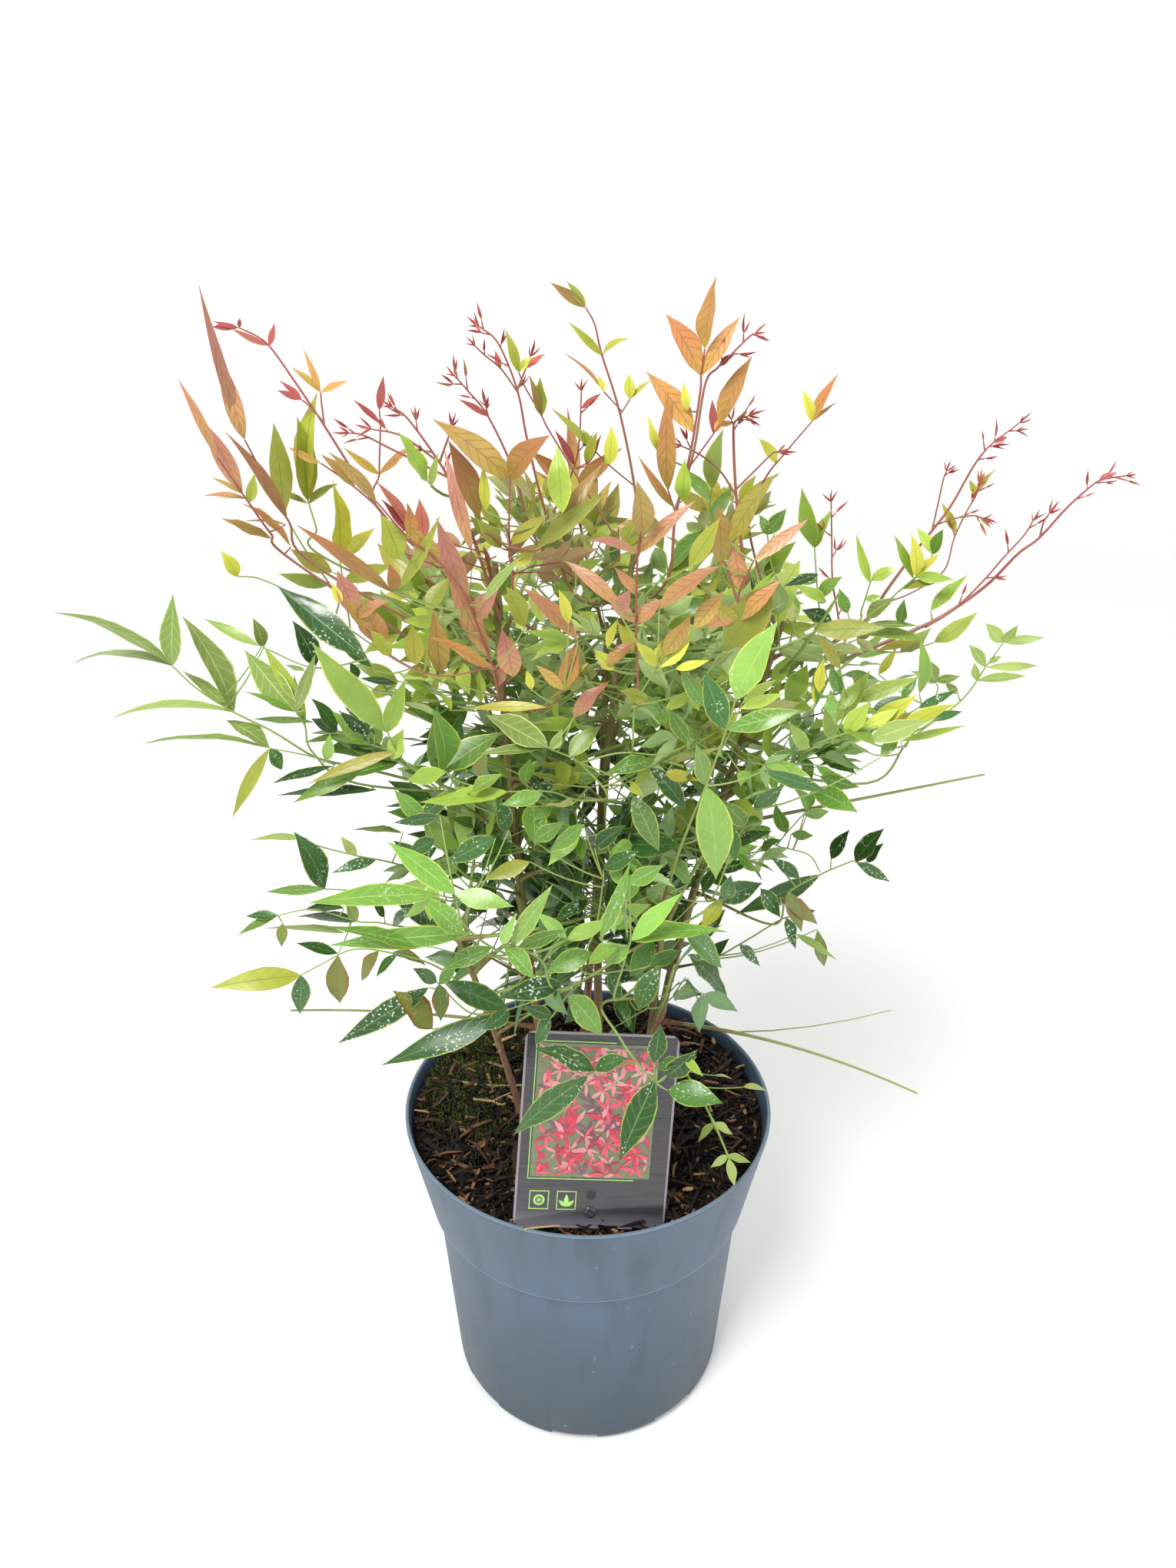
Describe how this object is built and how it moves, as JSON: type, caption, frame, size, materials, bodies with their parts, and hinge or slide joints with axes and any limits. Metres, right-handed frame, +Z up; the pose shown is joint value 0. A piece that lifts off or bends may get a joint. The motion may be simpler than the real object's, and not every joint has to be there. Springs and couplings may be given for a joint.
{
  "type": "potted heavenly bamboo shrub",
  "caption": "Young heavenly bamboo shrub with slender canes, feathery compound leaves and red new shoots, standing in a plain round nursery pot with a plant label.",
  "frame": {"origin": "centre of the pot's flat underside", "axes": "+Z up along the pot's axis, -Y towards the side that the label faces, +X to that viewer's right"},
  "size_m": [0.4892, 0.3816, 0.6263],
  "materials": {
    "pot_plastic": "slate grey moulded polypropylene, satin with fine scuffs",
    "potting_mix": "damp peat and bark fines, rough and dark",
    "label_film": "printed plastic card, semi-gloss",
    "peg_plastic": "black moulded plastic",
    "cane_bark": "red-brown young bark with leaf-base rings",
    "leaf_green": "waxy green leaf",
    "leaf_dark": "glossy dark green mature leaf",
    "leaf_lime": "soft yellow-green young leaf",
    "leaf_bronze": "rose to bronze new leaf",
    "shoot_red": "dark red unfolding shoot"
  },
  "bodies": {
    "root": {"pot": "pot_plastic", "soil": "potting_mix", "label_card": "label_film", "label_peg": "peg_plastic", "cane_left": "cane_bark", "cane_centre": "cane_bark", "cane_right": "cane_bark", "cane_back": "cane_bark", "cane_low_left": "cane_bark", "cane_low_front": "cane_bark", "leaf_rose_far_left": "leaf_bronze", "leaf_rose_left": "leaf_bronze", "leaf_olive_left": "leaf_lime", "shoot_left": "shoot_red", "shoot_tuft_left": "shoot_red", "shoot_centre": "shoot_red", "leaf_spindle_top": "leaf_lime", "leaf_orange_top": "leaf_bronze", "leaf_orange_right": "leaf_bronze", "shoot_hook": "shoot_red", "shoot_right": "shoot_red", "shoot_far_right": "shoot_red", "leaf_lime_upper_right": "leaf_lime", "leaf_bronze_right": "leaf_bronze", "leaf_green_far_right": "leaf_green", "leaf_lime_right": "leaf_lime", "leaf_green_right_back": "leaf_green", "leaf_dark_right": "leaf_dark", "leaf_dark_right_low": "leaf_dark", "leaf_green_far_left": "leaf_green", "leaf_lime_left": "leaf_lime", "leaf_dark_left": "leaf_dark", "leaf_dark_left_low": "leaf_dark", "leaf_drooping_left": "leaf_green", "leaf_bright_front_left": "leaf_lime", "leaf_dark_front_left": "leaf_dark", "leaf_olive_left_back": "leaf_lime", "leaf_bright_front": "leaf_lime", "leaf_bright_front_right": "leaf_lime", "leaf_hanging_front": "leaf_lime", "leaf_over_label": "leaf_dark", "leaf_rose_front": "leaf_bronze", "leaf_rose_front_left": "leaf_bronze", "leaf_rose_front_right": "leaf_bronze", "leaf_grey_front": "leaf_green", "leaf_bronze_front": "leaf_bronze", "leaf_yellow_front": "leaf_lime", "leaf_olive_centre": "leaf_lime", "leaf_dark_inner_left": "leaf_dark", "leaf_dark_inner_right": "leaf_dark", "leaf_dark_inner_centre": "leaf_dark", "leaf_back_high": "leaf_bronze", "leaf_back_left": "leaf_lime", "leaf_back_right": "leaf_lime", "leaf_back_middle": "leaf_green", "leaf_back_low": "leaf_dark", "stalk_right_high": "leaf_green", "stalk_right_low": "leaf_green", "stalk_left": "leaf_green", "sprig_on_soil": "leaf_green"}
  },
  "joints": []
}
